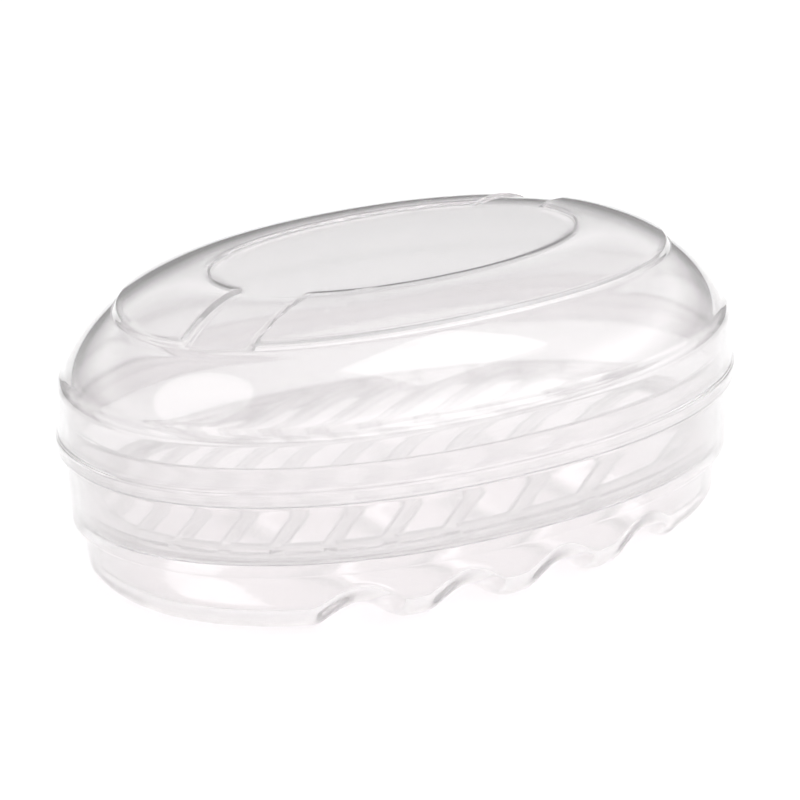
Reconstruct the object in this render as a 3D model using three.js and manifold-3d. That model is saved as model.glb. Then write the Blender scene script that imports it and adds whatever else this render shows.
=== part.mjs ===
// A clear oval soap case: a dish with a waved bottom, a lift-out drain tray and a push-on lid.
import * as THREE from 'three';
import { mergeVertices } from 'three/addons/utils/BufferGeometryUtils.js';
import Module from 'manifold-3d';

const wasm = await Module();
wasm.setup();

// Driving dimensions, in millimetres.
// An inset is measured inwards from the oval at the foot of the lid's skirt.

// The oval that every piece follows
const HALF_LENGTH = 57.5;
const HALF_WIDTH = 40.5;
const OVAL_POWER = 2.13;
const SIDE_BIAS = 0.5;

// Gaps between the pieces
const SEAT_GAP = 0.3;
const LID_CLEARANCE = 0.3;
const TRAY_CLEARANCE = 0.4;

// The dish, from the table up: bowl, ledge, band and neck
const BOWL_DEPTH = 12;
const BOWL_SETBACK = 1.6;
const BOWL_DRAFT = 0.5;
const ROUNDING_RUN = 12;
const ROUNDING_RISE = 5.6;
const FLOOR_WALL = 1.4;
const SIDE_WALL = 1.8;
const LEDGE_THICKNESS = 1.6;
const BAND_HEIGHT = 11.6;
const BAND_SETBACK = 0.85;
const BAND_DRAFT = 0.3;
const BAND_EDGE = 0.4;
const NECK_HEIGHT = 6;
const NECK_WALL = 1.1;
const NECK_EDGE = 0.3;
const MOUTH_DRAFT = 0.2;

// The waves: soft grooves pressed up across the bottom of the bowl
const GROOVE_COUNT = 4;
const GROOVE_PITCH = 16.9;
const GROOVE_WIDTH = 13.8;
const GROOVE_RISE = 3.3;
const GROOVE_FULLNESS = 0.6;
const GROOVE_FADE = 3;

// The lid, from its lower edge up: bead, skirt, shoulder, dome and crown
const LID_WALL = 1.4;
const BEAD_HEIGHT = 2.7;
const BEAD_PROUD = 0.4;
const SKIRT_HEIGHT = 10.8;
const SKIRT_DRAFT = 0.45;
const SHOULDER_RADIUS = 1.05;
const DOME_RISE = 11;
const DOME_RUN = 8.1;
const DOME_BULGE = 1;
const CROWN_RISE = 3.05;
const END_DROP = 2.2;

// The two raised panels on the crown, parted by a sunken flat oval and its slanting tails
const SUNKEN_HALF_LENGTH = 31.8;
const SUNKEN_HALF_WIDTH = 18.1;
const PANEL_MARGIN = 0.4;
const PANEL_OUTER_RISE = 1.2;
const PANEL_INNER_RISE = 0.45;
const TAIL_WIDTH = 11;
const TAIL_OFFSET = 6.5;
const TAIL_ANGLE = THREE.MathUtils.degToRad(34);

// The drain tray: an oval rim round a crowned grille of slanting bars
const TRAY_RIM_HEIGHT = 2.2;
const TRAY_RIM_WIDTH = 3;
const TRAY_EDGE = 0.4;
const TRAY_CROWN = 4.5;
const BAR_THICKNESS = 1.8;
const BAR_PITCH = 7.5;
const BAR_WIDTH = 1.7;
const BAR_ANGLE = THREE.MathUtils.degToRad(39);

// How finely the round stretches are stepped
const OVAL_STEPS = 72;
const WAVED_OVAL_STEPS = 120;
const BOWL_STEPS = 6;
const SHOULDER_STEPS = 3;
const DOME_STEPS = 5;
const CROWN_STEPS = 5;
const TRAY_STEPS = 4;

// How far a cutter runs past what it cuts
const OVERRUN = 5;

// Heights in the dish, from the table
const LEDGE_TOP = BOWL_DEPTH + LEDGE_THICKNESS;
const STEP_TOP = BOWL_DEPTH + BAND_HEIGHT;
const RIM_TOP = STEP_TOP + NECK_HEIGHT;

// Insets in the dish
const BAND_FOOT_INSET = BAND_SETBACK + BAND_DRAFT;
const BOWL_INSET = BAND_FOOT_INSET + BOWL_SETBACK;
const NECK_FOOT_INSET = LID_WALL + LID_CLEARANCE;
const NECK_TOP_INSET = NECK_FOOT_INSET + SKIRT_DRAFT * NECK_HEIGHT / SKIRT_HEIGHT;
const MOUTH_INSET = NECK_TOP_INSET + NECK_WALL;
const LEDGE_INSET = MOUTH_INSET + MOUTH_DRAFT;

// Heights and insets in the lid, from its lower edge
const DOME_FOOT = SKIRT_HEIGHT + SHOULDER_RADIUS;
const DOME_TOP = DOME_FOOT + DOME_RISE;
const DOME_FOOT_INSET = SKIRT_DRAFT + SHOULDER_RADIUS;
const CROWN_INSET = DOME_FOOT_INSET + DOME_RUN;
const PANEL_INSET = CROWN_INSET + PANEL_MARGIN;
const LID_HEIGHT = DOME_TOP + CROWN_RISE + PANEL_INNER_RISE;

// A ring parallel to the oval: how far in it lies, how high it is and how far its ends sag
const at = (inset, height, sag = 0) => ({
  halfLength: HALF_LENGTH - inset,
  halfWidth: HALF_WIDTH - inset,
  height,
  sag,
});

// A ring part of the way from one oval to another, at a height of its own
const between = (first, second, share, height, sag = 0) => ({
  halfLength: THREE.MathUtils.lerp(first.halfLength, second.halfLength, share),
  halfWidth: THREE.MathUtils.lerp(first.halfWidth, second.halfWidth, share),
  height,
  sag,
});

// The points of a ring, counter-clockwise from above, closer together along its sides than at its ends
function ringPoints({ halfLength, halfWidth, height, sag }, steps) {
  const signedPower = (value) => Math.sign(value) * Math.abs(value) ** (2 / OVAL_POWER);
  return Array.from({ length: steps }, (_, step) => {
    const turn = 2 * Math.PI * step / steps;
    const angle = turn + SIDE_BIAS / 2 * Math.sin(2 * turn);
    const x = halfLength * signedPower(Math.cos(angle));
    const y = halfWidth * signedPower(Math.sin(angle));
    return new THREE.Vector3(x, y, height - sag * (x / HALF_LENGTH) ** 2);
  });
}

// A closed solid through rings from the bottom up; strips from side to side close its two ends
function ovalLoft(rings, steps = OVAL_STEPS, bend = (point) => point) {
  const points = rings.flatMap((ring) => ringPoints(ring, steps)).map(bend);
  const top = points.length - steps;
  const index = [];
  for (let step = 0; step < steps; step += 1) {
    const next = (step + 1) % steps;
    for (let lower = 0; lower < top; lower += steps) {
      const upper = lower + steps;
      index.push(lower + step, lower + next, upper + next);
      index.push(lower + step, upper + next, upper + step);
    }
  }
  for (let step = 0; step < steps / 2; step += 1) {
    const next = step + 1;
    const opposite = steps - step;
    const nextOpposite = opposite - 1;
    if (next < nextOpposite) {
      index.push(next, step, nextOpposite);
      index.push(top + step, top + next, top + nextOpposite);
    }
    if (step > 0) {
      index.push(nextOpposite, step, opposite);
      index.push(top + step, top + nextOpposite, top + opposite);
    }
  }
  const geometry = new THREE.BufferGeometry().setFromPoints(points);
  geometry.setIndex(index);
  return toSolid(geometry);
}

// A straight-sided oval block between two heights
const ovalBlock = (ring, low, high) => ovalLoft([{ ...ring, height: low }, { ...ring, height: high }]);

// Solids for joining and cutting
function toSolid(geometry) {
  geometry.deleteAttribute('normal');
  geometry.deleteAttribute('uv');
  const merged = mergeVertices(geometry);
  const vertProperties = new Float32Array(merged.attributes.position.array);
  const triVerts = new Uint32Array(merged.index.array);
  return new wasm.Manifold(new wasm.Mesh({ numProp: 3, vertProperties, triVerts }));
}

// A named mesh of a finished solid
function toMesh(name, solid, material) {
  const { vertProperties, triVerts } = solid.getMesh();
  const geometry = new THREE.BufferGeometry();
  geometry.setAttribute('position', new THREE.BufferAttribute(vertProperties, 3));
  geometry.setIndex(new THREE.BufferAttribute(triVerts, 1));
  geometry.computeVertexNormals();
  const mesh = new THREE.Mesh(geometry, material);
  mesh.name = name;
  return mesh;
}

// The quarter ellipse by which the bowl's floor turns up into its side
function bowlRounding(floor, sideInset, run) {
  return Array.from({ length: BOWL_STEPS + 1 }, (_, step) => {
    const angle = Math.PI / 2 * step / BOWL_STEPS;
    return at(sideInset + run * (1 - Math.sin(angle)), floor + ROUNDING_RISE * (1 - Math.cos(angle)));
  });
}

// How far the grooves lift the floor at a place along the length
function grooveLift(x) {
  let lift = 0;
  for (let number = 0; number < GROOVE_COUNT; number += 1) {
    const centre = (number - (GROOVE_COUNT - 1) / 2) * GROOVE_PITCH;
    const share = Math.min(1, Math.abs(x - centre) / (GROOVE_WIDTH / 2));
    lift += GROOVE_RISE * ((1 + Math.cos(Math.PI * share)) / 2) ** GROOVE_FULLNESS;
  }
  return lift;
}

// The grooves lift the bowl fully at its floor and fade out up its side
function pressGrooves(point) {
  const up = THREE.MathUtils.clamp(point.z / BOWL_DEPTH, 0, 1);
  const lift = grooveLift(point.x) * (1 - up ** GROOVE_FADE);
  return new THREE.Vector3(point.x, point.y, point.z + lift);
}

// The dish: a waved bowl under a band, with a ledge inside and a neck that the lid goes over
function dishSolid() {
  const body = ovalLoft([
    ...bowlRounding(0, BOWL_INSET + BOWL_DRAFT, ROUNDING_RUN),
    at(BOWL_INSET, BOWL_DEPTH),
    at(BAND_FOOT_INSET + BAND_EDGE, BOWL_DEPTH),
    at(BAND_FOOT_INSET, BOWL_DEPTH + BAND_EDGE),
    at(BAND_SETBACK, STEP_TOP),
    at(NECK_FOOT_INSET, STEP_TOP),
    at(NECK_TOP_INSET, RIM_TOP - NECK_EDGE),
    at(NECK_TOP_INSET + NECK_EDGE, RIM_TOP),
  ], WAVED_OVAL_STEPS, pressGrooves);
  const hollow = ovalLoft([
    ...bowlRounding(FLOOR_WALL, BOWL_INSET + BOWL_DRAFT + SIDE_WALL, ROUNDING_RUN - SIDE_WALL),
    at(BOWL_INSET + SIDE_WALL, LEDGE_TOP),
    at(LEDGE_INSET, LEDGE_TOP),
    at(MOUTH_INSET, RIM_TOP),
    at(MOUTH_INSET, RIM_TOP + OVERRUN),
  ], WAVED_OVAL_STEPS, pressGrooves);
  return body.subtract(hollow);
}

// The crown from its edge in to the sunken oval; its ends sag less and less towards the middle
function crown(edge, lift) {
  const sunken = { halfLength: SUNKEN_HALF_LENGTH, halfWidth: SUNKEN_HALF_WIDTH };
  return Array.from({ length: CROWN_STEPS + 1 }, (_, step) => {
    const along = step / CROWN_STEPS;
    const fall = (1 - along) ** 2;
    return between(edge, sunken, along, DOME_TOP + CROWN_RISE * (1 - fall) + lift(along), END_DROP * fall);
  });
}

// The lid's outside from the shoulder to the sunken oval, or its inside a wall's thickness in
function lidTop(wall) {
  const shoulder = Array.from({ length: SHOULDER_STEPS + 1 }, (_, step) => {
    const angle = Math.PI / 2 * step / SHOULDER_STEPS;
    const inset = SKIRT_DRAFT + SHOULDER_RADIUS * (1 - Math.cos(angle));
    return at(inset + wall, SKIRT_HEIGHT + SHOULDER_RADIUS * Math.sin(angle) - wall);
  });
  const slant = Math.hypot(DOME_RUN, DOME_RISE);
  const dome = Array.from({ length: DOME_STEPS - 1 }, (_, step) => {
    const along = (step + 1) / DOME_STEPS;
    const bulge = 4 * DOME_BULGE * along * (1 - along);
    const inset = DOME_FOOT_INSET + DOME_RUN * along - bulge * DOME_RISE / slant;
    const height = DOME_FOOT + DOME_RISE * along + bulge * DOME_RUN / slant;
    return at(inset + wall * DOME_RISE / slant, height - wall, END_DROP * along);
  });
  const edge = at(CROWN_INSET + wall * DOME_RISE / slant, DOME_TOP);
  return [...shoulder, ...dome, ...crown(edge, () => -wall)];
}

// A tail of the sunken oval, from under the oval out past the edge of the crown
function tail(turn) {
  const reach = HALF_LENGTH + OVERRUN;
  const geometry = new THREE.BoxGeometry(reach, TAIL_WIDTH, 2 * LID_HEIGHT);
  geometry.translate(-reach / 2, TAIL_OFFSET, LID_HEIGHT);
  geometry.rotateZ(TAIL_ANGLE + turn);
  return toSolid(geometry);
}

// The two panels: they stand higher above the sunken surface at the crown's edge than at the oval
function panels() {
  const edge = at(PANEL_INSET, SKIRT_HEIGHT);
  const rise = (along) => THREE.MathUtils.lerp(PANEL_OUTER_RISE, PANEL_INNER_RISE, along);
  const rings = crown(edge, rise);
  return ovalLoft([edge, ...rings])
    .subtract(ovalBlock(rings.at(-1), 0, LID_HEIGHT + OVERRUN))
    .subtract(tail(0))
    .subtract(tail(Math.PI));
}

// The lid: a dome on a skirt, hollow, with two raised panels on its crown
function lidSolid() {
  const outside = [
    at(-BEAD_PROUD / 2, 0),
    at(-BEAD_PROUD, BEAD_PROUD),
    at(-BEAD_PROUD, BEAD_HEIGHT - BEAD_PROUD),
    at(SKIRT_DRAFT * BEAD_HEIGHT / SKIRT_HEIGHT, BEAD_HEIGHT),
    ...lidTop(0),
  ];
  const hollow = ovalLoft([at(LID_WALL, -OVERRUN), at(LID_WALL, 0), ...lidTop(LID_WALL)]);
  return ovalLoft(outside).add(panels()).subtract(hollow);
}

// Rings of the tray's crown, from its rim's inner edge to near its middle
function trayCrown(field, height) {
  const middle = { halfLength: 0, halfWidth: 0 };
  return Array.from({ length: TRAY_STEPS }, (_, step) => {
    const along = step / TRAY_STEPS;
    return between(field, middle, along, height + TRAY_CROWN * (1 - (1 - along) ** 2));
  });
}

// The drain tray: an oval rim inside the dish's wall, and a crown slotted at a slant between its bars
function traySolid() {
  const rimInset = LEDGE_INSET + TRAY_CLEARANCE;
  const fieldInset = rimInset + TRAY_RIM_WIDTH;
  const field = at(fieldInset, -OVERRUN);
  const plate = ovalLoft([
    at(rimInset, 0),
    at(rimInset, TRAY_RIM_HEIGHT - TRAY_EDGE),
    at(rimInset + TRAY_EDGE, TRAY_RIM_HEIGHT),
    ...trayCrown(field, TRAY_RIM_HEIGHT),
  ]);
  const hollow = ovalLoft([field, ...trayCrown(field, TRAY_RIM_HEIGHT - BAR_THICKNESS)]);
  const fieldBlock = ovalBlock(field, -OVERRUN, TRAY_RIM_HEIGHT + TRAY_CROWN + OVERRUN);
  const slotLength = 2 * HALF_LENGTH;
  const slotHeight = 2 * (TRAY_RIM_HEIGHT + TRAY_CROWN + OVERRUN);
  const across = (HALF_LENGTH - fieldInset) * Math.sin(BAR_ANGLE);
  const along = (HALF_WIDTH - fieldInset) * Math.cos(BAR_ANGLE);
  const slotsEachSide = Math.floor(Math.hypot(across, along) / BAR_PITCH);
  let tray = plate.subtract(hollow);
  for (let number = -slotsEachSide; number <= slotsEachSide; number += 1) {
    const slot = new THREE.BoxGeometry(slotLength, BAR_PITCH - BAR_WIDTH, slotHeight);
    slot.translate(0, number * BAR_PITCH, 0);
    slot.rotateZ(BAR_ANGLE);
    tray = tray.subtract(toSolid(slot).intersect(fieldBlock));
  }
  return tray;
}

// Clear plastic with a faint violet-grey tint
function clearPlastic() {
  return new THREE.MeshStandardMaterial({
    color: 0xe6e3e8,
    roughness: 0.12,
    metalness: 0,
    transparent: true,
    opacity: 0.4,
  });
}

const dish = toMesh('dish', dishSolid(), clearPlastic());

const drainTray = toMesh('drain_tray', traySolid(), clearPlastic());
drainTray.position.z = LEDGE_TOP + SEAT_GAP;

const lid = toMesh('lid', lidSolid(), clearPlastic());
lid.position.z = STEP_TOP + SEAT_GAP;

const soapCase = new THREE.Group();
soapCase.add(dish, drainTray, lid);

export default soapCase;
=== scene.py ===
# %% [markdown]
# # A clear oval soap case
# This lesson models a covered soap case: a dish with a waved bottom, a loose tray on which the soap
# drips dry, and a domed lid that is pushed over the dish's neck. All three are moulded in clear, very
# slightly cloudy plastic, so what the eye reads is mostly edges. Every rim, step and corner bends the
# light into a fine line, and the smooth walls between them are a pale and even grey. That is why each
# piece is made as a real shell, with an inside, an outside and small rounded edges.
#
# The sizes come from the imported model, which holds the measured object. We load it, read sizes off
# the boxes of its pieces, and replace its three plain pieces by finer ones.

# %% Load the measured model
import math

import bmesh
import bpy
from mathutils import Matrix, Vector


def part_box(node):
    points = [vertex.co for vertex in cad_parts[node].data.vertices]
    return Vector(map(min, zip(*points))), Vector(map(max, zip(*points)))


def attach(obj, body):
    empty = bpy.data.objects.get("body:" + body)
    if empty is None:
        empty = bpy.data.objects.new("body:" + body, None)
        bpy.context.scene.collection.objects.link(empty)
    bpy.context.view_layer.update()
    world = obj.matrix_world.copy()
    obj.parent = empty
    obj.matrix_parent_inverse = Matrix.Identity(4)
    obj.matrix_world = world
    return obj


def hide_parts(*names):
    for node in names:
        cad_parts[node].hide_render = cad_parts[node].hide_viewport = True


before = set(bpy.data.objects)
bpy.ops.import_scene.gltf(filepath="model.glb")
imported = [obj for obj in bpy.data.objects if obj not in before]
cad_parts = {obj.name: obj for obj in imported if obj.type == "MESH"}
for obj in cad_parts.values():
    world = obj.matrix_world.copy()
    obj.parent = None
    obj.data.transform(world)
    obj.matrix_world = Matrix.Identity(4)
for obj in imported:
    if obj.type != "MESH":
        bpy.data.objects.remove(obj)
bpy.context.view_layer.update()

# %% [markdown]
# ## The oval that every piece follows
# Seen from above, the case is an oval a little fuller than an ellipse. Its corners are filled out by
# a power just over 2. Every upright wall runs parallel to that oval, so a point of it can be given by
# two numbers: how far it lies in from the oval at the foot of the lid, its inset, and how high it is.

# %% The oval
MM = 0.001
BEAD_PROUD = 0.4 * MM
OVAL_POWER = 2.13

lid_low, lid_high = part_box("lid")
HALF_LENGTH = lid_high.x - BEAD_PROUD
HALF_WIDTH = lid_high.y - BEAD_PROUD
print(f"oval: {2 * HALF_LENGTH / MM:.1f} x {2 * HALF_WIDTH / MM:.1f} mm")

# %% [markdown]
# ## From a profile to an oval shell
# A moulder would draw half a section through the piece and turn it on a lathe, if the piece were
# round. We do just that: a few vertices give the section, a vertex bevel rounds its corners, and spin
# turns it about the upright axis. The result is round, so we then press it into the oval: a ring of
# vertices with a given radius becomes an oval with that half-width. A few marks give the half-length
# of chosen rings, and the rings between them follow. Past the last mark the ovals run parallel.
# Drawing the oval as a curve and lofting it would also work, but then every corner would have to be
# rounded on the finished mesh instead of once on the section.

# %% Draw, round, divide, spin and press a profile
SPIN_STEPS = 320
MERGE_DISTANCE = 0.001 * MM
ROUND_PROFILE = 0.5


def draw_profile(corners):
    """A chain of edges through corners, each given as (inset, height)."""
    bm = bmesh.new()
    verts = [bm.verts.new((HALF_WIDTH - inset, 0, height)) for inset, height in corners]
    for first, second in zip(verts, verts[1:]):
        bm.edges.new((first, second))
    return bm, verts


def round_corners(bm, verts, reach, segments):
    """Round corners of a profile; the rounding takes up this reach of the edges beside each."""
    bmesh.ops.bevel(
        bm,
        geom=verts,
        offset=reach,
        offset_type="OFFSET",
        segments=segments,
        profile=ROUND_PROFILE,
        affect="VERTICES",
        material=-1,
    )


def divide_edges(bm, longest):
    """Split the edges of a profile that are longer than this."""
    for edge in bm.edges[:]:
        cuts = math.ceil(edge.calc_length() / longest) - 1
        if cuts > 0:
            bmesh.ops.subdivide_edges(bm, edges=[edge], cuts=cuts)


def spin_profile(bm):
    """Turn a profile about the upright axis into a closed round shell."""
    bmesh.ops.spin(
        bm,
        geom=bm.verts[:] + bm.edges[:],
        cent=(0, 0, 0),
        axis=(0, 0, 1),
        angle=2 * math.pi,
        steps=SPIN_STEPS,
        use_merge=True,
    )
    bmesh.ops.remove_doubles(bm, verts=bm.verts[:], dist=MERGE_DISTANCE)
    bmesh.ops.recalc_face_normals(bm, faces=bm.faces[:])


def ring_reach(radius, marks):
    """The half-length of the oval that the ring with this radius becomes."""
    for (inner_radius, inner_reach), (outer_radius, outer_reach) in zip(marks, marks[1:]):
        if radius <= outer_radius:
            share = (radius - inner_radius) / (outer_radius - inner_radius)
            return inner_reach + share * (outer_reach - inner_reach)
    last_radius, last_reach = marks[-1]
    return radius + last_reach - last_radius


def press_oval(bm, marks):
    """Press a round shape into ovals; a mark is a ring's radius and its half-length."""
    for vert in bm.verts:
        radius = vert.co.xy.length
        if radius > MERGE_DISTANCE:
            reach = ring_reach(radius, marks)
            vert.co.x = reach * math.copysign(abs(vert.co.x / radius) ** (2 / OVAL_POWER), vert.co.x)
            vert.co.y = radius * math.copysign(abs(vert.co.y / radius) ** (2 / OVAL_POWER), vert.co.y)


def parallel_marks(inset):
    """Marks for ovals parallel to the case's from this inset out, shrinking rings inside it."""
    return [(0, 0), (HALF_WIDTH - inset, HALF_LENGTH - inset)]


def add_piece(bm, name, body, node):
    """Make the finished mesh an object that rides on a body in place of its plain node."""
    bmesh.ops.recalc_face_normals(bm, faces=bm.faces[:])
    mesh = bpy.data.meshes.new(name)
    bm.to_mesh(mesh)
    bm.free()
    mesh.shade_smooth()
    piece = bpy.data.objects.new(name, mesh)
    bpy.context.scene.collection.objects.link(piece)
    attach(piece, body)
    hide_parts(node)
    size = [round(side / MM, 1) for side in piece.dimensions]
    bottom = min(vert.co.z for vert in mesh.vertices)
    print(f"{name}: {len(mesh.polygons)} faces, {size} mm, bottom at {bottom / MM:.2f} mm")
    return piece


# %% [markdown]
# ## The dish's section
# From the middle of the underside outwards the section goes along the floor, up the rounded side of
# the bowl, out under the band, up the band, in over the step that carries the lid, and up the neck.
# Then it comes back down inside: over the rim, down to the ledge that carries the tray, and along the
# inside of the bowl. One closed section gives both faces of the wall, so no thickness has to be added
# later, and the ledge and the step are where they should be.

# %% Draw the dish's section
SEAT_GAP = 0.3 * MM
LID_WALL = 1.4 * MM
LID_CLEARANCE = 0.3 * MM
SKIRT_HEIGHT = 10.8 * MM
SKIRT_DRAFT = 0.45 * MM

BAND_HEIGHT = 11.6 * MM
BAND_SETBACK = 0.85 * MM
BAND_DRAFT = 0.3 * MM
BOWL_SETBACK = 1.6 * MM
BOWL_DRAFT = 0.5 * MM
ROUNDING_RUN = 12 * MM
ROUNDING_RISE = 5.6 * MM
ROUNDING_STEPS = 20
FLOOR_WALL = 1.4 * MM
SIDE_WALL = 1.8 * MM
LEDGE_THICKNESS = 1.6 * MM
NECK_WALL = 1.1 * MM
MOUTH_DRAFT = 0.2 * MM
DISH_EDGE = 0.45 * MM
DISH_EDGE_SEGMENTS = 4
DISH_LONGEST_EDGE = 0.9 * MM

_, dish_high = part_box("dish")
RIM_TOP = dish_high.z
STEP_TOP = lid_low.z - SEAT_GAP
NECK_HEIGHT = RIM_TOP - STEP_TOP
BOWL_DEPTH = STEP_TOP - BAND_HEIGHT
LEDGE_TOP = BOWL_DEPTH + LEDGE_THICKNESS

BAND_FOOT_INSET = BAND_SETBACK + BAND_DRAFT
BOWL_INSET = BAND_FOOT_INSET + BOWL_SETBACK
BOWL_SIDE_INSET = BOWL_INSET + BOWL_DRAFT
NECK_FOOT_INSET = LID_WALL + LID_CLEARANCE
NECK_TOP_INSET = NECK_FOOT_INSET + SKIRT_DRAFT * NECK_HEIGHT / SKIRT_HEIGHT
MOUTH_INSET = NECK_TOP_INSET + NECK_WALL
LEDGE_INSET = MOUTH_INSET + MOUTH_DRAFT


def bowl_rounding(floor, side_inset, run):
    """The quarter ellipse by which the bowl's floor turns up into its side."""
    points = []
    for step in range(ROUNDING_STEPS + 1):
        angle = math.pi / 2 * step / ROUNDING_STEPS
        points.append((
            side_inset + run * (1 - math.sin(angle)),
            floor + ROUNDING_RISE * (1 - math.cos(angle)),
        ))
    return points


outside = bowl_rounding(0, BOWL_SIDE_INSET, ROUNDING_RUN)
inside = bowl_rounding(FLOOR_WALL, BOWL_SIDE_INSET + SIDE_WALL, ROUNDING_RUN - SIDE_WALL)
dish_edges = [
    (BOWL_INSET, BOWL_DEPTH),
    (BAND_FOOT_INSET, BOWL_DEPTH),
    (BAND_SETBACK, STEP_TOP),
    (NECK_FOOT_INSET, STEP_TOP),
    (NECK_TOP_INSET, RIM_TOP),
    (MOUTH_INSET, RIM_TOP),
    (LEDGE_INSET, LEDGE_TOP),
    (BOWL_INSET + SIDE_WALL, LEDGE_TOP),
]
dish_bm, dish_corners = draw_profile([
    (HALF_WIDTH, 0),
    *outside,
    *dish_edges,
    *reversed(inside),
    (HALF_WIDTH, FLOOR_WALL),
])
first_edge = 1 + len(outside)
edge_corners = dish_corners[first_edge:first_edge + len(dish_edges)]
round_corners(dish_bm, edge_corners, DISH_EDGE, DISH_EDGE_SEGMENTS)
divide_edges(dish_bm, DISH_LONGEST_EDGE)
print(f"dish section: {len(dish_bm.verts)} points, bowl {BOWL_DEPTH / MM:.1f} mm deep")

# %% [markdown]
# ## Waves in the bottom of the dish
# The bottom of the dish is pressed into waves: four shallow grooves cross it, so that it stands on
# five rounded feet and water can run away under it. The wall is about as thick in the waves as
# elsewhere. Cutting grooves out of a finished bowl would leave sharp mouths where they meet the
# rounded side. Here the bowl is squeezed from below instead: each vertex is lifted by the wave at its
# place along the length, fully at the floor and less and less up the side, so the waves fade into it.

# %% Press the waves
GROOVE_COUNT = 4
GROOVE_PITCH = 16.9 * MM
GROOVE_WIDTH = 13.8 * MM
GROOVE_RISE = 3.3 * MM
GROOVE_FULLNESS = 0.6
GROOVE_FADE = 3


def groove_lift(x):
    """How far the grooves lift the floor at this place along the length."""
    lift = 0
    for number in range(GROOVE_COUNT):
        centre = (number - (GROOVE_COUNT - 1) / 2) * GROOVE_PITCH
        share = min(1, abs(x - centre) / (GROOVE_WIDTH / 2))
        lift += GROOVE_RISE * ((1 + math.cos(math.pi * share)) / 2) ** GROOVE_FULLNESS
    return lift


spin_profile(dish_bm)
press_oval(dish_bm, parallel_marks(BOWL_SIDE_INSET + ROUNDING_RUN))
for vert in dish_bm.verts:
    if vert.co.z < BOWL_DEPTH:
        vert.co.z += groove_lift(vert.co.x) * (1 - (vert.co.z / BOWL_DEPTH) ** GROOVE_FADE)
dish = add_piece(dish_bm, "dish_shell", "dish", "dish")

# %% [markdown]
# ## The drain tray
# The tray is a loose oval grille: a flat rim that lies on the dish's ledge, and slanting bars that
# rise to a low crown in the middle, so that the soap touches them only there. It starts as a flat
# oval face. Inset makes the rim, bisect_plane cuts the field along both sides of each bar, and the
# faces between the bars are deleted. The bars are then cut into short lengths, because a long face
# could not follow the crown.

# %% Cut the grille out of a flat oval
TRAY_CLEARANCE = 0.4 * MM
TRAY_RIM_WIDTH = 3 * MM
TRAY_RIM_HEIGHT = 2.2 * MM
TRAY_CROWN = 4.5 * MM
BAR_THICKNESS = 1.8 * MM
BAR_PITCH = 7.5 * MM
BAR_WIDTH = 1.7 * MM
BAR_ANGLE = math.radians(39)
BAR_PIECE = 2 * MM

tray_low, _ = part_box("drain_tray")
TRAY_INSET = LEDGE_INSET + TRAY_CLEARANCE
FIELD_HALF_LENGTH = HALF_LENGTH - TRAY_INSET - TRAY_RIM_WIDTH
FIELD_HALF_WIDTH = HALF_WIDTH - TRAY_INSET - TRAY_RIM_WIDTH
BAR_DIRECTION = Vector((math.cos(BAR_ANGLE), math.sin(BAR_ANGLE), 0))
ACROSS_BARS = Vector((-math.sin(BAR_ANGLE), math.cos(BAR_ANGLE), 0))


def cut_field(bm, faces, places, direction):
    """Cut these faces along parallel upright planes, and return what they have become."""
    pieces = set(faces)
    for place in places:
        edges = {edge for face in pieces for edge in face.edges}
        verts = {vert for face in pieces for vert in face.verts}
        cut = bmesh.ops.bisect_plane(
            bm,
            geom=[*verts, *edges, *pieces],
            dist=MERGE_DISTANCE,
            plane_co=direction * place,
            plane_no=direction,
        )
        pieces = {item for item in cut["geom"] if isinstance(item, bmesh.types.BMFace)}
    return pieces


tray_bm = bmesh.new()
bmesh.ops.create_circle(tray_bm, cap_ends=True, radius=HALF_WIDTH - TRAY_INSET, segments=SPIN_STEPS)
press_oval(tray_bm, parallel_marks(TRAY_INSET))
rim = bmesh.ops.inset_region(
    tray_bm,
    faces=tray_bm.faces[:],
    thickness=TRAY_RIM_WIDTH,
    use_boundary=True,
    use_even_offset=True,
)
field = set(tray_bm.faces) - set(rim["faces"])
bars_each_side = math.ceil(FIELD_HALF_LENGTH / BAR_PITCH)
bar_centres = [(number + 0.5) * BAR_PITCH for number in range(-bars_each_side, bars_each_side)]
bar_sides = [centre + side * BAR_WIDTH / 2 for centre in bar_centres for side in (-1, 1)]
field = cut_field(tray_bm, field, bar_sides, ACROSS_BARS)


def over_slot(face):
    """Whether a face of the field lies between two bars."""
    across = face.calc_center_median().dot(ACROSS_BARS)
    return min(abs(across - centre) for centre in bar_centres) > BAR_WIDTH / 2


slots = [face for face in field if over_slot(face)]
bars = field - set(slots)
bmesh.ops.delete(tray_bm, geom=slots, context="FACES")
pieces_each_side = math.ceil(FIELD_HALF_LENGTH / BAR_PIECE)
piece_ends = [number * BAR_PIECE for number in range(-pieces_each_side, pieces_each_side + 1)]
bars = cut_field(tray_bm, bars, piece_ends, BAR_DIRECTION)
print(f"grille: {len(slots)} slots, {len(bars)} lengths of bar")

# %% [markdown]
# Solidify gives the sheet its thickness. The rim is a little thicker than the bars, so its underside
# is extruded down before a bevel rounds all the sharp edges. At the end the flat grille is lifted into
# its crown, a shallow mound over the field, highest in the middle and nothing at the rim.

# %% Give the grille its thickness, rounded edges and crown
LEVEL_LIMIT = 0.5
SHARP_ANGLE = math.radians(60)
TRAY_EDGE = 0.35 * MM
TRAY_EDGE_SEGMENTS = 3

bmesh.ops.recalc_face_normals(tray_bm, faces=tray_bm.faces[:])
bmesh.ops.solidify(tray_bm, geom=tray_bm.faces[:], thickness=BAR_THICKNESS)
bmesh.ops.recalc_face_normals(tray_bm, faces=tray_bm.faces[:])
plate_bottom = min(vert.co.z for vert in tray_bm.verts)


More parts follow.
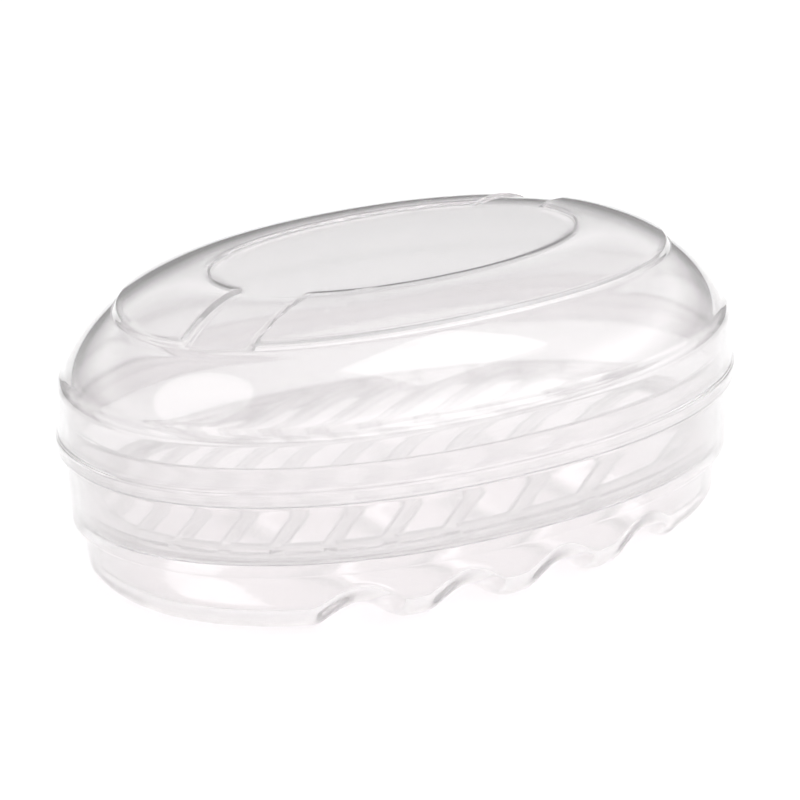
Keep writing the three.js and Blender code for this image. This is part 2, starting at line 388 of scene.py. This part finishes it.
def field_share(place):
    """0 in the middle of the grille, 1 at the inner edge of its rim, more outside."""
    along = abs(place.x) / FIELD_HALF_LENGTH
    across = abs(place.y) / FIELD_HALF_WIDTH
    return (along ** OVAL_POWER + across ** OVAL_POWER) ** (1 / OVAL_POWER)


rim_under = [
    face for face in tray_bm.faces
    if face.normal.z < -LEVEL_LIMIT and field_share(face.calc_center_median()) > 1
]
lowered = bmesh.ops.extrude_face_region(tray_bm, geom=rim_under)
rim_drop = TRAY_RIM_HEIGHT - BAR_THICKNESS
lowered_verts = [item for item in lowered["geom"] if isinstance(item, bmesh.types.BMVert)]
bmesh.ops.translate(tray_bm, verts=lowered_verts, vec=(0, 0, -rim_drop))
sharp_edges = [
    edge for edge in tray_bm.edges
    if edge.is_manifold and edge.calc_face_angle() > SHARP_ANGLE
]
bmesh.ops.bevel(
    tray_bm,
    geom=sharp_edges,
    offset=TRAY_EDGE,
    offset_type="OFFSET",
    segments=TRAY_EDGE_SEGMENTS,
    profile=ROUND_PROFILE,
    affect="EDGES",
    clamp_overlap=True,
    material=-1,
)
bmesh.ops.translate(tray_bm, verts=tray_bm.verts[:], vec=(0, 0, tray_low.z + rim_drop - plate_bottom))
for vert in tray_bm.verts:
    vert.co.z += TRAY_CROWN * max(0, 1 - field_share(vert.co) ** 2)
tray = add_piece(tray_bm, "drain_grille", "tray", "drain_tray")

# %% [markdown]
# ## The lid's section
# The lid has a small bead round its lower edge, a nearly upright skirt, a short sloping shoulder, and
# a dome whose side slopes almost straight up to the crown and bulges just a little. As with the dish,
# one section runs from the middle of the crown down the outside, round the lower edge and up the
# inside. The wall is kept even round the shoulder too: where a clear wall changes its thickness it
# acts as a prism and shows as a dark strip. The crown gets extra points where steps will come.

# %% Draw the lid's section
BEAD_HEIGHT = 2.7 * MM
SHOULDER_SIZE = 1.05 * MM
DOME_RISE = 10.65 * MM
DOME_RUN = 8.1 * MM
DOME_BULGE = 1 * MM
CROWN_RISE = 3.4 * MM
SUNKEN_HALF_LENGTH = 31.8 * MM
SUNKEN_HALF_WIDTH = 18.1 * MM
PANEL_MARGIN = 0.5 * MM
INNER_STEP = 0.3 * MM
OUTER_STEP = 0.6 * MM
EDGE_LINE_WIDTH = 0.24 * MM

SKIRT_FOOT = lid_low.z
SKIRT_TOP = SKIRT_FOOT + SKIRT_HEIGHT
DOME_FOOT = SKIRT_TOP + SHOULDER_SIZE
DOME_TOP = DOME_FOOT + DOME_RISE
DOME_FOOT_INSET = SKIRT_DRAFT + SHOULDER_SIZE
CROWN_INSET = DOME_FOOT_INSET + DOME_RUN
CROWN_TOP = DOME_TOP + CROWN_RISE
SUNKEN_INSET = HALF_WIDTH - SUNKEN_HALF_WIDTH
INNER_CROWN_INSET = CROWN_INSET + LID_WALL * DOME_RISE / math.hypot(DOME_RUN, DOME_RISE)
INNER_DROP = 0.6 * LID_WALL

# Rows of points across a step and across the fine line, as shares of their widths
STEP_ROWS = [0.5, 0.3, 0.15, 0, -0.15, -0.3, -0.5]
EDGE_LINE_ROWS = [0.25, 0.5, 0.75, 1]
DOME_STEPS = 12
CROWN_STEPS = 12


def crown_line(edge_inset, top, extra_insets):
    """The crown in the section: level over the sunken oval, then falling to its edge."""
    run = SUNKEN_INSET - edge_inset
    insets = [SUNKEN_INSET - run * step / CROWN_STEPS for step in range(CROWN_STEPS)]
    points = []
    for inset in sorted([*insets, *extra_insets], reverse=True):
        share = max(0, (SUNKEN_INSET - inset) / run)
        points.append((inset, top - CROWN_RISE * share ** 2))
    return points


def panel_rows(edge_inset):
    """The extra insets that the crown needs for the steps at both edges of the panels."""
    return [
        *[SUNKEN_INSET + share * INNER_STEP for share in STEP_ROWS if share],
        *[edge_inset + PANEL_MARGIN + share * OUTER_STEP for share in STEP_ROWS],
    ]


def dome_side(first_inset, first_height, last_inset, last_height):
    """The dome's side in the section, from the crown down: a slope with a shallow bow."""
    run = last_inset - first_inset
    drop = last_height - first_height
    slope = math.hypot(run, drop)
    points = []
    for step in range(DOME_STEPS + 1):
        along = step / DOME_STEPS
        bow = 4 * DOME_BULGE * along * (1 - along)
        points.append((
            first_inset + run * along + bow * drop / slope,
            first_height + drop * along - bow * run / slope,
        ))
    return points


edge_rows = [CROWN_INSET + share * EDGE_LINE_WIDTH for share in EDGE_LINE_ROWS]
outer_crown = crown_line(CROWN_INSET, CROWN_TOP, [*panel_rows(CROWN_INSET), *edge_rows])
inner_crown = crown_line(INNER_CROWN_INSET, CROWN_TOP - LID_WALL, panel_rows(INNER_CROWN_INSET))
outer_dome = dome_side(CROWN_INSET, DOME_TOP, DOME_FOOT_INSET, DOME_FOOT)
inner_dome = dome_side(
    INNER_CROWN_INSET,
    DOME_TOP - LID_WALL,
    DOME_FOOT_INSET + LID_WALL,
    DOME_FOOT - INNER_DROP,
)
lid_edges = [
    (SKIRT_DRAFT, SKIRT_TOP),
    (SKIRT_DRAFT * BEAD_HEIGHT / SKIRT_HEIGHT, SKIRT_FOOT + BEAD_HEIGHT),
    (-BEAD_PROUD, SKIRT_FOOT + BEAD_HEIGHT - BEAD_PROUD),
    (-BEAD_PROUD, SKIRT_FOOT),
    (LID_WALL, SKIRT_FOOT),
    (SKIRT_DRAFT + LID_WALL, SKIRT_TOP - INNER_DROP),
]
lid_bm, lid_corners = draw_profile([
    (HALF_WIDTH, CROWN_TOP),
    *outer_crown,
    *outer_dome,
    *lid_edges,
    *reversed(inner_dome),
    *reversed(inner_crown),
    (HALF_WIDTH, CROWN_TOP - LID_WALL),
])
print(f"lid section: {len(lid_corners)} corners, skirt from {SKIRT_FOOT / MM:.1f} mm up")

# %% [markdown]
# Each corner of the section gets its own rounding. The shoulder is soft, which makes it a pale line
# in the picture, and the edge of the crown stays almost sharp, which makes it a thin one. On the real
# lid these are the radii of the mould. Last, the long edges are divided, so that the faces are small.

# %% Round the corners of the lid's section
SHOULDER_ROUNDING = 0.7 * SHOULDER_SIZE
SHOULDER_SEGMENTS = 6
DOME_FOOT_ROUNDING = 0.6 * SHOULDER_SIZE
DOME_FOOT_SEGMENTS = 5
BEAD_ROUNDING = 0.35 * MM
BEAD_SEGMENTS = 4
INNER_CROWN_ROUNDING = 0.22 * MM
INNER_CROWN_SEGMENTS = 3
CROWN_ROUNDING = 0.04 * MM
CROWN_SEGMENTS = 2
LID_LONGEST_EDGE = 1.2 * MM

crown_edge = lid_corners[1 + len(outer_crown)]
dome_end = len(outer_crown) + len(outer_dome)
dome_foot, shoulder, *bead_corners, inner_shoulder, inner_dome_foot = (
    lid_corners[dome_end:dome_end + len(lid_edges) + 2]
)
inner_crown_edge = lid_corners[-2 - len(inner_crown)]
round_corners(lid_bm, [shoulder, inner_shoulder], SHOULDER_ROUNDING, SHOULDER_SEGMENTS)
round_corners(lid_bm, bead_corners, BEAD_ROUNDING, BEAD_SEGMENTS)
round_corners(lid_bm, [dome_foot, inner_dome_foot], DOME_FOOT_ROUNDING, DOME_FOOT_SEGMENTS)
round_corners(lid_bm, [inner_crown_edge], INNER_CROWN_ROUNDING, INNER_CROWN_SEGMENTS)
round_corners(lid_bm, [crown_edge], CROWN_ROUNDING, CROWN_SEGMENTS)
divide_edges(lid_bm, LID_LONGEST_EDGE)
print(f"rounded and divided: {len(lid_bm.verts)} points")

# %% [markdown]
# ## The crown with its raised panels
# Two panels stand up a little from the crown, like two hands round a sunken oval, and the sunken
# surface runs out between them in two slanting tails. After the spin we note the radius of each ring,
# because the rings are hard to tell once they are pressed into ovals. Then bisect_plane adds rows of
# vertices along the edges of the tails, above and below, so that the small steps at the panels' edges
# are clean and smooth.

# %% Spin the lid and lay out the panels
TAIL_WIDTH = 10.3 * MM
TAIL_OFFSET = 3.3 * MM
TAIL_ANGLE = math.radians(26)
TAIL_SHARP_STEP = 0.3 * MM
TAIL_INNER_STEP = 0.8 * MM
TAIL_OUTER_STEP = 1.5 * MM
CROWN_RADIUS = HALF_WIDTH - CROWN_INSET
INNER_CROWN_RADIUS = HALF_WIDTH - INNER_CROWN_INSET
ALONG_TAILS = Vector((math.cos(TAIL_ANGLE), math.sin(TAIL_ANGLE), 0))
ACROSS_TAILS = Vector((-math.sin(TAIL_ANGLE), math.cos(TAIL_ANGLE), 0))

spin_profile(lid_bm)
ring = lid_bm.verts.layers.float.new("ring")
for vert in lid_bm.verts:
    vert[ring] = vert.co.xy.length
press_oval(lid_bm, [
    (0, 0),
    (SUNKEN_HALF_WIDTH, SUNKEN_HALF_LENGTH),
    (CROWN_RADIUS, HALF_LENGTH - CROWN_INSET),
])
lid_bm.normal_update()


def within(face, radius):
    """Whether all of a face lies inside the ring with this radius."""
    return max(vert[ring] for vert in face.verts) < radius


tail_sides = [
    tail * (TAIL_OFFSET + side * TAIL_WIDTH / 2) + share * step
    for tail in (-1, 1)
    for side, step in ((-1, TAIL_SHARP_STEP), (1, TAIL_OUTER_STEP))
    for share in STEP_ROWS
]
crown_tops = [
    face for face in lid_bm.faces
    if face.normal.z > LEVEL_LIMIT and within(face, CROWN_RADIUS)
]
crown_undersides = [
    face for face in lid_bm.faces
    if face.normal.z < -LEVEL_LIMIT and within(face, INNER_CROWN_RADIUS)
]
crown_tops = cut_field(lid_bm, crown_tops, tail_sides, ACROSS_TAILS)
crown_undersides = cut_field(lid_bm, crown_undersides, tail_sides, ACROSS_TAILS)
print(f"crown: {len(crown_tops)} faces above, {len(crown_undersides)} below")

# %% [markdown]
# A vertex belongs to a panel by three distances: to the sunken oval, to the outer edge of the panels
# and to the nearer tail. Each gives a soft step from 0 to 1, and their product is the panel. One side
# of a tail is a crisp step, and the other is a slope that widens outwards. The panels stand higher at
# the edge of the crown than round the oval. The inside of the lid follows them, so the wall stays
# even, and a fine line runs round the crown outside. At last the dome is bowed along its length: the
# ends of the crown's edge drop by about one and a half millimetres, while the sunken oval stays level.

# %% Raise the panels and bow the dome
PANEL_OUTER_RISE = 0.85 * MM
PANEL_INNER_RISE = 0.45 * MM
EDGE_LINE_DEPTH = 0.2 * MM
END_DROP = 2.2 * MM


def soft_step(distance, width):
    """From 0 to 1 over this width about distance 0, without a corner."""
    share = min(1, max(0, distance / width + 0.5))
    return share * share * (3 - 2 * share)


def outward(radius):
    """0 at the edge of the sunken oval, 1 at the edge of the crown."""
    return max(0, (radius - SUNKEN_HALF_WIDTH) / (CROWN_RADIUS - SUNKEN_HALF_WIDTH))


def panel_rise(place, radius, edge_radius):
    """How far the crown is raised here: nothing on its sunken parts."""
    inner = soft_step(radius - SUNKEN_HALF_WIDTH, INNER_STEP)
    outer = soft_step(edge_radius - PANEL_MARGIN - radius, OUTER_STEP)
    half_turn = 1 if place.dot(ALONG_TAILS) < 0 else -1
    across = half_turn * place.dot(ACROSS_TAILS) - TAIL_OFFSET
    gentle_step = TAIL_INNER_STEP + (TAIL_OUTER_STEP - TAIL_INNER_STEP) * outward(radius)
    tail = soft_step(TAIL_WIDTH / 2 - abs(across), gentle_step if across > 0 else TAIL_SHARP_STEP)
    full_rise = PANEL_INNER_RISE + (PANEL_OUTER_RISE - PANEL_INNER_RISE) * outward(radius)
    return full_rise * inner * outer * (1 - tail)


def edge_line(radius):
    """The depth of the fine line that runs round the crown, just inside its edge."""
    off_centre = abs(CROWN_RADIUS - radius - EDGE_LINE_WIDTH / 2) / (EDGE_LINE_WIDTH / 2)
    return EDGE_LINE_DEPTH * max(0, 1 - off_centre)


def end_drop(place, radius):
    """How far the bow of the dome lowers this place."""
    up = min(1, max(0, (place.z - DOME_FOOT) / DOME_RISE))
    return END_DROP * min(up, outward(radius) ** 2) * (place.x / HALF_LENGTH) ** 2


drops = {vert: end_drop(vert.co, vert[ring]) for vert in lid_bm.verts}
for vert in {vert for face in crown_tops for vert in face.verts}:
    vert.co.z += panel_rise(vert.co, vert[ring], CROWN_RADIUS) - edge_line(vert[ring])
for vert in {vert for face in crown_undersides for vert in face.verts}:
    vert.co.z += panel_rise(vert.co, vert[ring], INNER_CROWN_RADIUS)
for vert, drop in drops.items():
    vert.co.z -= drop
lid = add_piece(lid_bm, "lid_shell", "lid", "lid")

# %% [markdown]
# ## The face of a moulding
# A moulded face is never quite even: it has slow ripples from the way the plastic flowed, a tint that
# drifts a little, a soft change of gloss, and the first fine rub marks of use. These are noise
# patterns on Object coordinates, so they need no unwrapping. They sit in one node group that the three
# pieces share, each with its own values.

# %% The moulded face: a node group
RIPPLE_DETAIL = 1.5
CAST_SCALE = 30
CAST_DETAIL = 3
RUB_ANGLE = math.radians(25)
RUB_STRETCH = (60, 700, 300)
RUB_DETAIL = 4
RUB_FIRST = 0.5
RUB_FULL = 0.8


def make_moulded_face():
    """Tint, gloss and ripple of a moulded clear face, by noise on Object coordinates."""
    group = bpy.data.node_groups.new("moulded_face", "ShaderNodeTree")
    for name, direction, kind in (
        ("Light Tint", "INPUT", "NodeSocketColor"),
        ("Deep Tint", "INPUT", "NodeSocketColor"),
        ("Gloss Roughness", "INPUT", "NodeSocketFloat"),
        ("Rubbed Roughness", "INPUT", "NodeSocketFloat"),
        ("Ripple Scale", "INPUT", "NodeSocketFloat"),
        ("Tint", "OUTPUT", "NodeSocketColor"),
        ("Roughness", "OUTPUT", "NodeSocketFloat"),
        ("Ripple", "OUTPUT", "NodeSocketFloat"),
    ):
        group.interface.new_socket(name, in_out=direction, socket_type=kind)

    nodes, links = group.nodes, group.links
    entry = nodes.new("NodeGroupInput")
    result = nodes.new("NodeGroupOutput")
    place = nodes.new("ShaderNodeTexCoord")

    ripple = nodes.new("ShaderNodeTexNoise")
    ripple.inputs["Detail"].default_value = RIPPLE_DETAIL
    links.new(place.outputs["Object"], ripple.inputs["Vector"])
    links.new(entry.outputs["Ripple Scale"], ripple.inputs["Scale"])
    links.new(ripple.outputs["Fac"], result.inputs["Ripple"])

    cast = nodes.new("ShaderNodeTexNoise")
    cast.inputs["Scale"].default_value = CAST_SCALE
    cast.inputs["Detail"].default_value = CAST_DETAIL
    links.new(place.outputs["Object"], cast.inputs["Vector"])
    tint = nodes.new("ShaderNodeMix")
    tint.data_type = "RGBA"
    links.new(cast.outputs["Fac"], tint.inputs["Factor"])
    links.new(entry.outputs["Light Tint"], tint.inputs["A"])
    links.new(entry.outputs["Deep Tint"], tint.inputs["B"])
    links.new(tint.outputs["Result"], result.inputs["Tint"])

    rubbing = nodes.new("ShaderNodeMapping")
    rubbing.inputs["Rotation"].default_value = (0, 0, RUB_ANGLE)
    rubbing.inputs["Scale"].default_value = RUB_STRETCH
    links.new(place.outputs["Object"], rubbing.inputs["Vector"])
    marks = nodes.new("ShaderNodeTexNoise")
    marks.inputs["Detail"].default_value = RUB_DETAIL
    links.new(rubbing.outputs["Vector"], marks.inputs["Vector"])
    rubbed = nodes.new("ShaderNodeMapRange")
    rubbed.inputs["From Min"].default_value = RUB_FIRST
    rubbed.inputs["From Max"].default_value = RUB_FULL
    links.new(marks.outputs["Fac"], rubbed.inputs["Value"])
    links.new(entry.outputs["Gloss Roughness"], rubbed.inputs["To Min"])
    links.new(entry.outputs["Rubbed Roughness"], rubbed.inputs["To Max"])
    links.new(rubbed.outputs["Result"], result.inputs["Roughness"])
    return group


moulded_face = make_moulded_face()
print("node group:", moulded_face.name)

# %% [markdown]
# ## Cloudy clear plastic
# The plastic lets most of the light through and scatters the rest, so its Transmission Weight is a
# little under 1. Its body is slightly rough and has a faint violet-grey cast, which adds up where many
# walls lie behind each other. A smooth coat over it keeps the reflections of the lamps crisp.
#
# Clear plastic lets light pass to the floor, but a renderer that aims at each lamp sees the wall as
# solid and draws a dark shadow. A Light Path node tells the two apart: for such a shadow ray the wall
# is see-through, with the tint of the plastic, and for all others it is the Principled shader.

# %% A clear plastic for each piece
PLASTIC_IOR = 1.5
SKIN_ROUGHNESS = 0.03
RIPPLE_DEPTH = 0.03 * MM
SHADOW_TINT = (0.93, 0.915, 0.92, 1)


def add_clear_plastic(piece, name, clearness, light_tint, deep_tint, gloss, rubbed, ripple_scale):
    """Give a piece a cloudy clear plastic with its own tint, haze and ripple under a glossy skin."""
    material = bpy.data.materials.new(name)
    material.use_nodes = True
    nodes, links = material.node_tree.nodes, material.node_tree.links
    shader = nodes["Principled BSDF"]
    shader.inputs["Transmission Weight"].default_value = clearness
    shader.inputs["IOR"].default_value = PLASTIC_IOR
    shader.inputs["Coat Weight"].default_value = 1
    shader.inputs["Coat Roughness"].default_value = SKIN_ROUGHNESS
    face = nodes.new("ShaderNodeGroup")
    face.node_tree = moulded_face
    face.inputs["Light Tint"].default_value = light_tint
    face.inputs["Deep Tint"].default_value = deep_tint
    face.inputs["Gloss Roughness"].default_value = gloss
    face.inputs["Rubbed Roughness"].default_value = rubbed
    face.inputs["Ripple Scale"].default_value = ripple_scale
    links.new(face.outputs["Tint"], shader.inputs["Base Color"])
    links.new(face.outputs["Roughness"], shader.inputs["Roughness"])
    bump = nodes.new("ShaderNodeBump")
    bump.inputs["Strength"].default_value = 1
    bump.inputs["Distance"].default_value = RIPPLE_DEPTH
    links.new(face.outputs["Ripple"], bump.inputs["Height"])
    links.new(bump.outputs["Normal"], shader.inputs["Normal"])
    passing = nodes.new("ShaderNodeBsdfTransparent")
    passing.inputs["Color"].default_value = SHADOW_TINT
    path = nodes.new("ShaderNodeLightPath")
    mix = nodes.new("ShaderNodeMixShader")
    links.new(path.outputs["Is Shadow Ray"], mix.inputs["Fac"])
    links.new(shader.outputs["BSDF"], mix.inputs[1])
    links.new(passing.outputs["BSDF"], mix.inputs[2])
    links.new(mix.outputs["Shader"], nodes["Material Output"].inputs["Surface"])
    piece.data.materials.append(material)
    print(f"finish: {piece.name} in {name}, clearness {clearness}")


add_clear_plastic(
    lid,
    "lid_plastic",
    clearness=0.82,
    light_tint=(0.97, 0.959, 0.963, 1),
    deep_tint=(0.95, 0.938, 0.943, 1),
    gloss=0.06,
    rubbed=0.12,
    ripple_scale=45,
)
add_clear_plastic(
    dish,
    "dish_plastic",
    clearness=0.83,
    light_tint=(0.957, 0.946, 0.949, 1),
    deep_tint=(0.927, 0.915, 0.919, 1),
    gloss=0.1,
    rubbed=0.16,
    ripple_scale=60,
)
add_clear_plastic(
    tray,
    "tray_plastic",
    clearness=0.85,
    light_tint=(0.94, 0.932, 0.935, 1),
    deep_tint=(0.91, 0.902, 0.905, 1),
    gloss=0.12,
    rubbed=0.18,
    ripple_scale=80,
)

# %% [markdown]
# ## Floor
# The case stands on a plain white sheet, wide enough to fill the picture. It glows a little, as a
# sheet lit from below would, so that it stays white under the case, where the plastic takes some of
# the light away. A matt floor with no gloss shows no second, mirrored case.

# %% Floor
FLOOR_HALF_SIDE = 6
FLOOR_SHADE = (0.95, 0.95, 0.95, 1)
FLOOR_GLOW = 0.23

floor_bm = bmesh.new()
bmesh.ops.create_grid(floor_bm, x_segments=1, y_segments=1, size=FLOOR_HALF_SIDE)
floor_mesh = bpy.data.meshes.new("floor")
floor_bm.to_mesh(floor_mesh)
floor_bm.free()
floor = bpy.data.objects.new("floor", floor_mesh)
bpy.context.scene.collection.objects.link(floor)
floor_paint = bpy.data.materials.new("floor_paint")
floor_paint.use_nodes = True
floor_shader = floor_paint.node_tree.nodes["Principled BSDF"]
floor_shader.inputs["Base Color"].default_value = FLOOR_SHADE
floor_shader.inputs["Roughness"].default_value = 1
floor_shader.inputs["Specular IOR Level"].default_value = 0
floor_shader.inputs["Emission Color"].default_value = (1, 1, 1, 1)
floor_shader.inputs["Emission Strength"].default_value = FLOOR_GLOW
floor_mesh.materials.append(floor_paint)
print(f"floor: {2 * FLOOR_HALF_SIDE} m wide")

# %% [markdown]
# ## The room's light
# Clear things are lit by what they stand in. A room that is equally bright everywhere would make the
# case vanish, because every bent ray would meet the same white. So this room is dark at the horizon,
# brightest some twenty degrees above it and dimmer again overhead. The dark horizon draws the grey
# contours along the edges, where the light is bent most. The room is also brighter in front of the
# case than behind and beside it. A colour ramp over the height of the direction, given as its sine,
# holds the shades, and a second value over the direction's side scales them.

# %% Room light
ROOM_SHADES = ((0.12, 0.48), (0.37, 2.45), (0.56, 1.13), (0.85, 0.95))
ROOM_DIM = 0.37
ROOM_BRIGHT = 1.03
BRIGHT_SIDE = (0.25, -0.97, 0)
BRIGHT_SIDE_START = 0.05

room = bpy.data.worlds.new("room")
bpy.context.scene.world = room
room.use_nodes = True
room_nodes, room_links = room.node_tree.nodes, room.node_tree.links
background = room_nodes["Background"]
direction = room_nodes.new("ShaderNodeTexCoord")
height = room_nodes.new("ShaderNodeSeparateXYZ")
shade = room_nodes.new("ShaderNodeValToRGB")
stops = shade.color_ramp.elements
for sine, _ in ROOM_SHADES[1:-1]:
    stops.new(sine)
for stop, (sine, brightness) in zip(stops, ROOM_SHADES):
    stop.position = sine
    stop.color = (brightness, brightness, brightness, 1)
room_links.new(direction.outputs["Generated"], height.inputs["Vector"])
room_links.new(height.outputs["Z"], shade.inputs["Fac"])
room_links.new(shade.outputs["Color"], background.inputs["Color"])
facing = room_nodes.new("ShaderNodeVectorMath")
facing.operation = "DOT_PRODUCT"
facing.inputs[1].default_value = BRIGHT_SIDE
side = room_nodes.new("ShaderNodeMapRange")
side.inputs["From Min"].default_value = BRIGHT_SIDE_START
side.inputs["From Max"].default_value = 1
side.inputs["To Min"].default_value = ROOM_DIM
side.inputs["To Max"].default_value = ROOM_BRIGHT
room_links.new(direction.outputs["Generated"], facing.inputs[0])
room_links.new(facing.outputs["Value"], side.inputs["Value"])
room_links.new(side.outputs["Result"], background.inputs["Strength"])
print("room shades by height:", [(stop.position, stop.color[0]) for stop in stops])

# %% [markdown]
# ## Lamps
# Two soft lamps give the dome its two bright reflections: a round one on the left and a square one in
# front. A reflection shows where the dome mirrors the lamp into the camera, so each lamp stands on
# the mirrored line of sight and looks back at that spot. A third lamp overhead only brightens the
# plastic and the floor. It is kept out of reflections and out of what is seen through the walls.

# %% Lamps


def add_lamp(name, place, target, width, shape, brightness):
    """A soft lamp that looks at a point; a wider one gives more light at the same brightness."""
    light = bpy.data.lights.new(name, "AREA")
    light.shape = shape
    light.size = width
    area = math.pi * width ** 2 / 4 if shape == "DISK" else width ** 2
    light.energy = brightness * math.pi * area
    lamp = bpy.data.objects.new(name, light)
    lamp.location = place
    lamp.rotation_mode = "QUATERNION"
    lamp.rotation_quaternion = (Vector(target) - Vector(place)).to_track_quat("-Z", "Y")
    bpy.context.scene.collection.objects.link(lamp)
    print(f"{name}: {light.energy:.2f} W")
    return lamp


add_lamp(
    "round_lamp",
    place=(-0.734, -0.105, 0.757),
    target=(-0.044, -0.021, 0.040),
    width=0.76,
    shape="DISK",
    brightness=0.92,
)
add_lamp(
    "square_lamp",
    place=(0.271, -0.472, 0.898),
    target=(-0.008, -0.034, 0.043),
    width=0.54,
    shape="SQUARE",
    brightness=1.12,
)
top_lamp = add_lamp(
    "top_lamp",
    place=(0, 0, 1.2),
    target=(0, 0, 0),
    width=0.8,
    shape="DISK",
    brightness=2,
)
top_lamp.visible_glossy = False
top_lamp.visible_transmission = False

# %% [markdown]
# ## Camera
# The camera stands in front, a little to the left, and looks down by about twenty degrees from more
# than half a metre away with a long lens. It leans over by about two degrees, which lifts the right
# end of the case a little in the picture. Its heights are counted from the foot of the dish's band.

# %% Camera
CAMERA_PLACE = Vector((-247.57, -451.68, BOWL_DEPTH / MM + 197.63)) * MM
CAMERA_AIM = Vector((1.5, 3.38, BOWL_DEPTH / MM + 10.54)) * MM
CAMERA_LEAN = math.radians(-2.4)
CAMERA_LENS = 151.9
SENSOR_WIDTH = 36

camera_data = bpy.data.cameras.new("camera")
camera_data.lens = CAMERA_LENS
camera_data.sensor_width = SENSOR_WIDTH
camera = bpy.data.objects.new("camera", camera_data)
camera.location = CAMERA_PLACE
look = (CAMERA_AIM - CAMERA_PLACE).to_track_quat("-Z", "Y").to_matrix().to_4x4()
camera.rotation_mode = "QUATERNION"
camera.rotation_quaternion = (look @ Matrix.Rotation(CAMERA_LEAN, 4, "Z")).to_quaternion()
bpy.context.scene.collection.objects.link(camera)
bpy.context.scene.camera = camera
print(f"camera: {(CAMERA_AIM - CAMERA_PLACE).length:.3f} m from what it looks at")

# %% [markdown]
# ## Colour and light paths
# The Standard view shows colours as they are, so a white floor comes out white. A look through the
# case passes the faces of many walls, and each bends or mirrors the light once more. Rays that are
# given up too early leave dark patches in clear plastic, so they may go on for long.

# %% Colour and light paths
LONGEST_PATH = 40
DIFFUSE_PATH = 12

scene = bpy.context.scene
scene.view_settings.view_transform = "Standard"
scene.cycles.max_bounces = LONGEST_PATH
scene.cycles.transmission_bounces = LONGEST_PATH
scene.cycles.glossy_bounces = LONGEST_PATH
scene.cycles.diffuse_bounces = DIFFUSE_PATH
print(f"light paths: up to {LONGEST_PATH} bounces, {DIFFUSE_PATH} of them diffuse")
